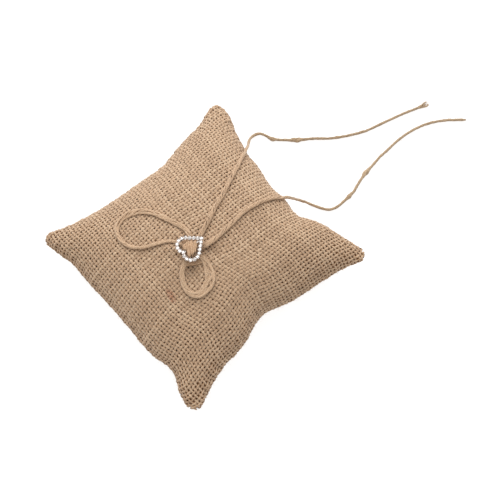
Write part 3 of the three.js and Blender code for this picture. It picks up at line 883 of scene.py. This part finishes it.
def laid(route, radius):
    """The line of a twine: along its route, resting on the cloth where the route gives no height."""
    lying = [float(len(point) == 2) for point in route]
    control = [point if len(point) == 3 else (*point, resting_height(*point, radius))
               for point in route]
    line = catmull(control)
    weights = np.interp(np.arange(len(line)) / SPAN_POINTS, np.arange(len(route)), lying)
    ground = np.array([resting_height(x, y, radius) for x, y, _ in line])
    free = np.maximum(line[:, 2], ground)
    line[:, 2] = smoothed(weights * ground + (1 - weights) * free, LAID_PASSES)
    return evenly(line, TWINE_STEP)


def lying_frames(path):
    """Directions beside and above each point of a path that runs over the cloth."""
    heading = unit(np.gradient(path, axis=0))
    side = unit(np.cross(heading, (0, 0, 1)))
    return side, np.cross(side, heading)


def strand(middle, radius, rng):
    """The surface of one strand of fibres round a path: not quite round, with slanting ridges."""
    side, lift = lying_frames(middle)
    metres = metres_along(middle)[:, None]
    slant = 3 * around(STRAND_SIDES) - 2 * np.pi * metres / RIDGE_LENGTH + rng.uniform(0, 6)
    ridges = 1 + RIDGES * np.cos(slant)
    ridges = ridges + RIDGES * rng.uniform(-1, 1, (len(middle), STRAND_SIDES))
    reach = radius[:, None] * ridges
    return rings_round(middle, side, lift, reach, reach, STRAND_SIDES)


def wound(path, width, depth, rng, strands=STRANDS, turn=STRAND_TURN, end=CUT_END, lumps=()):
    """Strands that wind slowly round a path inside a flat oval, given its width along the path."""
    side, lift = lying_frames(path)
    metres = np.arange(len(path)) * TWINE_STEP
    left = metres[-1] - metres
    length, spread = end
    apart = np.clip(1 - left / length, 0, 1) ** 1.3
    bunched = sum(hump(metres, lump, LUMP_LENGTH) for lump in lumps) + 0 * metres
    thin = 1 - 0.3 * apart - 0.4 * np.clip(1 - left / END_TAPER, 0, 1)
    winding = 2 * np.pi * metres / turn + 0.9 * wander(rng, metres, TURN_WAVES)[0]
    tubes = []
    for number in range(strands):
        place = winding + 2 * np.pi * number / strands
        place = place + 0.5 * wander(rng, metres, PLACE_WAVES)[0]
        radius = STRAND / 2 * (1 + STRAND_SWELL * wander(rng, metres, STRAND_WAVES)[0])
        radius = radius * thin * (1 + 0.5 * bunched)
        for slub in rng.uniform(0, metres[-1], round(metres[-1] / SLUB_SPACING)):
            radius = radius * (1 + SLUB_SWELL * hump(metres, slub, SLUB_LENGTH))
        open_out = 1 + rng.uniform(0, 1.2) * bunched
        beside = ((width - STRAND) / 2 * open_out + spread * apart) * np.cos(place)
        above = (depth - STRAND) / 2 * (1 - 0.5 * apart) * np.sin(place)
        middle = path + beside[:, None] * side + above[:, None] * lift
        tubes.append(strand(middle, radius, rng))
    return tubes


def lay_twine(name, path, widths, depth, rng, far_end="object", look=TWINE_LOOK, tint=0.0, **winding):
    """One loop or tail of the bow. Returns its path."""
    width = np.interp(np.linspace(0, 1, len(path)), *widths)
    tubes = wound(path, width, depth, rng, **winding)
    _, lift = lying_frames(path)
    tubes = [np.maximum(rings, (-np.inf, -np.inf, 0.0001)) for rings in tubes]
    # The twine's lower flanks get painted shade, by how far below its middle they lie.
    sunk = [0.2 - ((rings - path[:, None]) * lift[:, None]).sum(-1) / (TWINE / 2) for rings in tubes]
    mesh = tube_mesh(f"twine_{name}", tubes, tint + rng.uniform(-0.5, 0.5, len(tubes)), sunk)
    twine = piece(f"twine_{name}", mesh, "pillow", look, f"bow_{name}")
    return path


def add_loops(rng):
    return [
        lay_twine("loop_left", laid(LEFT_LOOP_ROUTE, FLAT_TWINE / 2), LEFT_WIDTHS, FLAT_TWINE, rng,
                  strands=10, turn=0.03),
        lay_twine("loop_lower", laid(LOWER_LOOP_ROUTE, OPEN_TWINE / 2), LOWER_WIDTHS, FLAT_TWINE, rng,
                  strands=20, turn=0.09),
    ]


def add_tails(rng):
    tail = {"far_end": "bare", "look": TAIL_LOOK, "tint": TAIL_TINT}
    return [
        lay_twine("tail_upper", laid(UPPER_TAIL_ROUTE, FLAT_TWINE / 2), TAIL_WIDTHS, TAIL_DEPTH, rng,
                  **tail, end=FRAYED_END, lumps=UPPER_LUMPS),
        lay_twine("tail_right", laid(RIGHT_TAIL_ROUTE, FLAT_TWINE / 2), TAIL_WIDTHS, TAIL_DEPTH, rng,
                  **tail, lumps=RIGHT_LUMPS),
    ]


loops = add_loops(rng)
tails = add_tails(rng)

# ---- loose fibres

HAIR = 0.00008  # thickness of one loose fibre at its root
HAIR_SIDES = 3
HAIR_RINGS = 6
TOP_HAIRS = 1100
BOTTOM_HAIRS = 500
CLOTH_HAIR_LENGTHS = (0.0012, 0.0032)
TWINE_HAIR_LENGTHS = (0.001, 0.0036)
TWINE_HAIR_ROOT = 0.0006  # from the twine's middle
HEART_REACH = 0.0115  # from the middle of the heart to past its tip, with a fibre's length


def hairs(roots, leaving, lengths, rng):
    """Thin bent fibres that leave each root in a given direction, as tubes for tube_mesh."""
    share = np.linspace(0, 1, HAIR_RINGS)[:, None]
    girth = HAIR / 2 * (1 - 0.6 * share)
    tubes = []
    for root, heading, length in zip(roots, leaving, lengths):
        bend = unit(np.cross(heading, rng.normal(size=3)))
        path = root + length * (share * heading + rng.uniform(0.1, 0.6) * share ** 2 * bend)
        path[:, 2] = np.maximum(path[:, 2], HAIR)
        side = unit(np.cross(heading, bend + 0.3 * heading + (0, 0, 0.01)))
        lift = unit(np.cross(side, heading))
        tubes.append(rings_round(path, side, lift, girth, girth, HAIR_SIDES))
    return tubes


def cloth_hairs(cloth, count, rng):
    """Fibres that stand off a panel, with as many again along its edges."""
    u, v = rng.uniform(-1, 1, (2, 2 * count))
    edge = rng.integers(0, 2, count)
    near = rng.choice([-1, 1], count) * rng.uniform(0.96, 1.01, count)
    u[:count] = np.where(edge == 0, near, u[:count])
    v[:count] = np.where(edge == 1, near, v[:count])
    normal = cloth.normal(u, v)
    roots = cloth.at(u, v) + 0.4 * HALF_CLOTH * normal
    lean = unit(np.cross(normal, rng.normal(size=normal.shape)))
    leaving = unit(lean + rng.uniform(0.15, 1.0, (2 * count, 1)) * normal)
    return hairs(roots, leaving, rng.uniform(*CLOTH_HAIR_LENGTHS, 2 * count), rng)


def twine_hairs(path, rng):
    """Fibres that stand off a twine, slanting along it, apart from those the heart could touch."""
    count = len(path)
    place = rng.integers(1, count - 1, count)
    heading = unit(np.gradient(path, axis=0))[place] * rng.choice([-1, 1], (count, 1))
    outward = rng.normal(size=(count, 3))
    outward = unit(outward - (outward * heading).sum(-1, keepdims=True) * heading)
    outward[:, 2] = np.abs(outward[:, 2])
    leaving = unit(heading + rng.uniform(0.3, 1.1, (count, 1)) * outward)
    roots = path[place] + TWINE_HAIR_ROOT * outward
    tubes = hairs(roots, leaving, rng.uniform(*TWINE_HAIR_LENGTHS, count), rng)
    return [tube for tube in tubes if from_heart(tube.mean((0, 1))) > HEART_REACH]


def from_heart(points):
    """How far points are from the middle of the heart, seen from above."""
    return np.linalg.norm((points - HEART_MIDDLE)[..., :2], axis=-1)


def hair_piece(name, tubes, look, rng):
    piece(name, tube_mesh(name, tubes, rng.uniform(-0.2, 1, len(tubes))), "pillow", look)


hair_piece("burlap_hairs_top", cloth_hairs(top_cloth, TOP_HAIRS, rng), BURLAP_LOOK, rng)
hair_piece("burlap_hairs_bottom", cloth_hairs(bottom_cloth, BOTTOM_HAIRS, rng), BURLAP_LOOK,
           rng)
hair_piece("twine_hairs", [tube for path in loops + tails for tube in twine_hairs(path, rng)],
           TWINE_LOOK, rng)

# ---- heart buckle

# In heart coordinates. The stones' centres are on a line of two lobe arcs and two straight sides.
LOBE_RADIUS = 0.0047
LOBE_X = 0.0031
LOBE_Y = -0.0022
TIP_Y = 0.0081
STONES = 20
STONE_RADIUS = 0.00102
STONE_TILT = 0.16  # no stone is set quite level in its cup
CUP_RADIUS = 0.00124
CUP_SIDES = 24
CUP_FOOT = -0.0003
CUP_TOP = 0.00125
SEAT_FLOOR = 0.0004
PRONG = 0.00024
PRONG_INSET = 0.00012  # from the cup's outside in to the middle of a prong
PRONG_RISE = 0.00004
LINK_HEIGHT = 0.0004
LINK_RADIUS = 0.00075  # of the bars that run from cup to cup
BAR_RADIUS = 0.0005

# Radius and height of the corners of a cup's section, from inside its foot round to inside its seat
CUP_PROFILE = [
    (0.0002, CUP_FOOT), (0.00095, CUP_FOOT), (0.00114, CUP_FOOT + 0.0001),
    (0.00118, 0.0003), (CUP_RADIUS - 0.00004, CUP_TOP - 0.0004), (CUP_RADIUS, CUP_TOP - 0.0001),
    (CUP_RADIUS - 0.00005, CUP_TOP), (CUP_RADIUS - 0.00013, CUP_TOP),
    (CUP_RADIUS - 0.00018, CUP_TOP - 0.0001), (0.00107, SEAT_FLOOR), (0.0002, SEAT_FLOOR),
]

# Rings of a stone's corners from its table down to its point: share of its radius, height, how many,
# and how far the ring is turned, in corners
STONE_RINGS = [
    (0.55, 0.00142, 8, 0.5), (0.8, 0.00129, 8, 0.0), (1.0, 0.00102, 16, 0.0),
    (1.0, 0.00094, 16, 0.0), (0.5, 0.00058, 8, 0.0), (0.02, 0.0003, 8, 0.0),
]


def silver_look():
    nodes = Nodes("silver_plate", Metallic=1.0)
    worn = nodes.noise(900.0, 3.0)
    nodes.shade("Base Color", nodes.ramp(worn, (0.3, rgb("#8d8580")), (0.6, rgb("#e4dcd6"))))
    nodes.shade("Roughness", nodes.ramp(worn, (0.3, grey(0.34)), (0.7, grey(0.16))))
    return nodes.material


def crystal_look():
    nodes = Nodes("foiled_crystal", Roughness=0.04, Metallic=0.5, IOR=1.6, Coat_Weight=0.6,
                  Coat_Roughness=0.02)
    # Painted glints: specks of noise make the stones' colour white in places and grey in others.
    sparkle = nodes.noise(1300.0, 1.0)
    nodes.shade("Base Color", nodes.ramp(sparkle, (0.44, rgb("#978d87")), (0.58, rgb("#fffaf6"))))
    return nodes.material


def on_heart(points):
    """Places in heart coordinates (across, cleft to tip, height over the bar) as world places."""
    return HEART_MIDDLE + np.asarray(points, float) @ np.stack([HEART_ACROSS, HEART_UP, (0, 0, 1)])


def heart_line():
    """The right half of the stones' line from the tip to the cleft: a straight side and an arc."""
    to_tip = math.atan2(TIP_Y - LOBE_Y, -LOBE_X)
    start = to_tip - math.acos(LOBE_RADIUS / math.hypot(TIP_Y - LOBE_Y, LOBE_X))
    end = -math.pi + math.acos(LOBE_X / LOBE_RADIUS)
    angles = np.linspace(start, end, 60)
    arc = np.stack([LOBE_X + LOBE_RADIUS * np.cos(angles), LOBE_Y + LOBE_RADIUS * np.sin(angles)], -1)
    return np.linspace([0, TIP_Y], arc[0], 30, endpoint=False), arc


def stone_centres():
    right = respaced(np.vstack(heart_line()), STONES // 2 + 1)
    left = right[1:-1][::-1] * (-1, 1)
    return np.vstack([right, left])


def turned(profile, sides, x, y):
    """A ring of revolution standing at (x, y): the closed profile is radius and height."""
    angle = around(sides)
    radius, height = np.array(profile).T[..., None]
    return np.stack([x + radius * np.cos(angle), y + radius * np.sin(angle), height + 0 * angle], -1)


def rod(start, end, radius, sides):
    """A round bar with rounded ends, as rings."""
    start, end = np.array(start, float), np.array(end, float)
    path = start + np.array([0, 0.02, 0.06, 0.5, 0.94, 0.98, 1])[:, None] * (end - start)
    girth = radius * np.array([0.6, 0.9, 1, 1, 1, 0.9, 0.6])[:, None]
    heading = unit(end - start)
    side = unit(np.cross(heading, (0, 0, 1)))
    return rings_round(path, side, np.cross(side, heading), girth, girth, sides)


def prong(x, y, angle):
    """A bead on a cup's rim, on the side that the angle says."""
    reach = CUP_RADIUS - PRONG_INSET
    tilt = np.linspace(-0.45, 0.5, 6) * np.pi
    profile = [(PRONG * math.cos(a) + 1e-6, CUP_TOP + PRONG_RISE + PRONG * math.sin(a)) for a in tilt]
    return turned(profile, 8, x + reach * math.cos(angle), y + reach * math.sin(angle))


def brilliant(name, x, y):
    """A brilliant-cut stone with flat facets, as the hull of its corners."""
    tilt = STONE_TILT * np.array([math.sin(9e3 * x + 5e3 * y), math.sin(7e3 * y - 4e3 * x)])
    shape = bmesh.new()
    for share, height, corners, turn in STONE_RINGS:
        for corner in range(corners):
            angle = 2 * math.pi * (corner + turn) / corners + 7.3 * x / STONE_RADIUS
            aside = share * STONE_RADIUS * np.array([math.cos(angle), math.sin(angle)])
            shape.verts.new(on_heart((x + aside[0], y + aside[1], height + tilt @ aside)))
    hull = bmesh.ops.convex_hull(shape, input=shape.verts)
    inside = [part for part in hull["geom_interior"] if isinstance(part, bmesh.types.BMVert)]
    bmesh.ops.delete(shape, geom=inside, context="VERTS")
    bmesh.ops.recalc_face_normals(shape, faces=shape.faces)
    mesh = bpy.data.meshes.new(name)
    shape.to_mesh(mesh)
    shape.free()
    return mesh


def buckle_parts(centres):
    """The rings of the buckle's cups, prongs and links, and of the bar from its cleft to its tip."""
    parts = []
    for before, (x, y), after in zip(np.roll(centres, 1, 0), centres, np.roll(centres, -1, 0)):
        parts.append(turned(CUP_PROFILE, CUP_SIDES, x, y))
        facing = math.atan2(after[1] - before[1], after[0] - before[0])
        parts += [prong(x, y, facing + corner * math.pi) for corner in (0.25, 0.75, 1.25, 1.75)]
        parts.append(rod((x, y, LINK_HEIGHT), (*after, LINK_HEIGHT), LINK_RADIUS, 8))
    parts.append(rod((0, centres[STONES // 2][1], 0), (0, TIP_Y, 0), BAR_RADIUS, 14))
    return [on_heart(part) for part in parts]


def add_heart():
    centres = stone_centres()
    parts = buckle_parts(centres)
    buckle = tube_mesh("heart_buckle", parts, [0.0] * len(parts))
    piece("heart_buckle", buckle, "heart", silver_look(), "heart_frame")
    look = crystal_look()
    for number, (x, y) in enumerate(centres, start=1):
        name = f"crystal_{number:02d}"
        piece(name, brilliant(name, x, y), "heart", look, f"rhinestone_{number:02d}")


add_heart()

# ---- knot

# In heart coordinates
KNOT_MIDDLE = np.array([0.0004, -0.0005])
KNOT_TOP = 0.0009
KNOT_FOOT = -0.0027
KNOT_EDGE = (0.0012, 0.0023)  # from the stones' line in to the foot and the top of its flank
KNOT_LEAN = np.array([-0.8, 0.6])  # the way the strands run over the bar
KNOT_ASIDE = np.array([0.6, 0.8])
KNOT_HALF_WIDTH = 0.0046  # the strands dive under the heart this far from the bar
KNOT_DIVE = 0.0008
KNOT_STRANDS = 12
KNOT_STRAND = 0.00092
KNOT_PITCH = 0.00077
KNOT_REACH = 0.0076
KNOT_POINTS = 39
KNOT_DRIFT = 0.0007  # how far a strand's ends stray sideways
KNOT_RISE = 0.0004  # how much higher or lower than the others a strand may lie
KNOT_TUCK = 0.0003  # how far the strands reach out past the line of stones
KNOT_SWELL = 0.15
SWELL_LENGTH = 0.005

ROOT_SPREAD = 0.0006  # of the two strands at the root of each loop and tail
ROOT_RISE = 0.0012  # to where they meet, over the knot's foot
ROOT_SAG = 0.0004
BAND_REACH = 0.0115  # where the strands at the heart's edge lie, from its middle
BAND_BOW = 0.0004
BAND_PLACES = (-0.0038, -0.003, -0.0022, -0.0014, -0.0006)


def inside_heart(x, y):
    """How far (x, y) in heart coordinates lies inside the line of the stones, negative outside."""
    straight, arc = heart_line()
    line = np.vstack([straight, arc, straight * (-1, 1), arc * (-1, 1)])
    away = np.hypot(x[:, None] - line[:, 0], y[:, None] - line[:, 1]).min(1)
    in_lobe = np.hypot(np.abs(x) - LOBE_X, y - LOBE_Y) < LOBE_RADIUS
    shoulder = arc[0]
    in_point = (y > shoulder[1]) & (np.abs(x) < shoulder[0] * (TIP_Y - y) / (TIP_Y - shoulder[1]))
    return np.where(in_lobe | in_point, away, -away)


def knot_height(x, inside):
    """The mound that the knot's strands make in the heart's opening, and the cloth beside it."""
    foot, top = KNOT_EDGE
    share = np.clip((inside - foot) / (top - foot), 0, 1)
    share = share * np.clip((KNOT_HALF_WIDTH - np.abs(x - KNOT_MIDDLE[0])) / KNOT_DIVE, 0, 1)
    mound = KNOT_FOOT + (KNOT_TOP - KNOT_FOOT) * share * share * (3 - 2 * share)
    return mound + 0.15 * np.maximum(inside - top, 0)


def knot_strand(points, thickness, rng):
    """A strand through points, which swells and thins along its way."""
    path = evenly(catmull(points), KNOT_STEP)
    metres = np.arange(len(path)) * KNOT_STEP
    return strand(path, thickness / 2 * (1 + KNOT_SWELL * wander(rng, metres, SWELL_LENGTH)[0]), rng)


def over_the_bar(rng):
    """Strands side by side over the heart's bar, as far as they lie inside the line of stones."""
    reach = np.linspace(-KNOT_REACH, KNOT_REACH, KNOT_POINTS)
    strands = []
    for number in range(KNOT_STRANDS):
        place = (number - (KNOT_STRANDS - 1) / 2) * KNOT_PITCH
        pinch = 1 + 0.2 * (reach / KNOT_REACH) ** 2 * rng.uniform(-1, 1)
        drift = KNOT_DRIFT * rng.uniform(-1, 1) * reach / KNOT_REACH
        aside = (place * pinch + drift)[:, None] * KNOT_ASIDE
        spots = KNOT_MIDDLE + reach[:, None] * KNOT_LEAN + aside
        inside = inside_heart(spots[:, 0], spots[:, 1])
        height = knot_height(spots[:, 0], inside) + KNOT_RISE * rng.uniform(-1, 1)
        under = inside > -KNOT_TUCK
        if under.sum() >= 4:
            points = on_heart(np.column_stack([spots, height])[under])
            strands.append(knot_strand(points, KNOT_STRAND, rng))
    return strands


def root(end, rng):
    """Two strands from the end of a loop or tail to the middle of the knot, under the dome."""
    middle = on_heart((*KNOT_MIDDLE, KNOT_FOOT + ROOT_RISE))
    halfway = end * 0.45 + middle * 0.55 - (0, 0, ROOT_SAG)
    path = evenly(catmull([end, halfway, middle]), KNOT_STEP)
    side, _ = lying_frames(path)
    radius = np.full(len(path), STRAND / 2)
    return [strand(path + aside * side, radius, rng) for aside in (-ROOT_SPREAD, ROOT_SPREAD)]


def across(loop, rng):
    """Strands on the cloth at the heart's edge, from one side of a loop to the other."""
    beyond = from_heart(loop) > BAND_REACH
    start, end = loop[beyond][0], loop[beyond][-1]
    outward = unit(((start + end) / 2 - HEART_MIDDLE) * (1, 1, 0))
    strands = []
    for place in BAND_PLACES:
        middle = (start + end) / 2 + (BAND_BOW + place) * outward
        middle[2] = resting_height(middle[0], middle[1], STRAND / 2)
        points = [start + place * outward, middle, end + place * outward]
        strands.append(knot_strand(points, STRAND, rng))
    return strands


def lower_sides(rings):
    """How far each point of a strand lies towards its neighbours from the top of its own ring."""
    top = rings[..., 2].max(1, keepdims=True)
    return 0.05 + 1.6 * (top - rings[..., 2]) / KNOT_STRAND


def add_knot(rng):
    strands = over_the_bar(rng)
    for loop in loops:
        strands += root(loop[0], rng) + root(loop[-1], rng)
    for tail in tails:
        strands += root(tail[0], rng)
    strands += across(loops[1], rng)
    # Painted shade: the knot's strands take darker tints than the loops', for the heart round them, and
    # their lower sides are darker still.
    tints = rng.uniform(-0.8, 0.3, len(strands))
    mesh = tube_mesh("twine_knot", strands, tints, [lower_sides(rings) for rings in strands])
    piece("twine_knot", mesh, "pillow", TWINE_LOOK, "bow_knot")


add_knot(rng)

# ---- light and floor

FLOOR_GLOW = 0.84  # the table glows a little, so that the shadows on it stay pale
FLOOR_REACH = 3
SKY_STRENGTH = 0.77
KEY_PLACE = Vector((-0.7, 0.5, 0.8))
KEY_AIM = Vector((0, 0, 0.02))
KEY_SIZE = 1.3
KEY_POWER = 17


def add_floor():
    nodes = Nodes("floor", Roughness=0.9, Emission_Color=WHITE, Emission_Strength=FLOOR_GLOW)
    paper = nodes.ramp(nodes.noise(60.0, 2.0), (0.3, grey(0.3)), (0.7, grey(0.32)))
    nodes.shade("Base Color", paper)
    corners = FLOOR_REACH * np.array([(-1, -1, 0), (1, -1, 0), (1, 1, 0), (-1, 1, 0)])
    mesh = bpy.data.meshes.new("floor")
    mesh.from_pydata(corners.tolist(), [], [(0, 1, 2, 3)])
    mesh.materials.append(nodes.material)
    floor = bpy.data.objects.new("floor", mesh)
    bpy.context.collection.objects.link(floor)


def add_key_light():
    light = bpy.data.lights.new("key", "AREA")
    light.shape = "DISK"
    light.size = KEY_SIZE
    light.energy = KEY_POWER
    lamp = bpy.data.objects.new("key", light)
    lamp.location = KEY_PLACE
    lamp.rotation_euler = (KEY_PLACE - KEY_AIM).to_track_quat("Z", "Y").to_euler()
    bpy.context.collection.objects.link(lamp)


def add_sky():
    world = bpy.data.worlds.new("studio")
    world.use_nodes = True
    background = world.node_tree.nodes["Background"]
    background.inputs["Color"].default_value = WHITE
    background.inputs["Strength"].default_value = SKY_STRENGTH
    bpy.context.scene.world = world


add_floor()
add_sky()
add_key_light()
bpy.context.scene.view_settings.view_transform = "Standard"
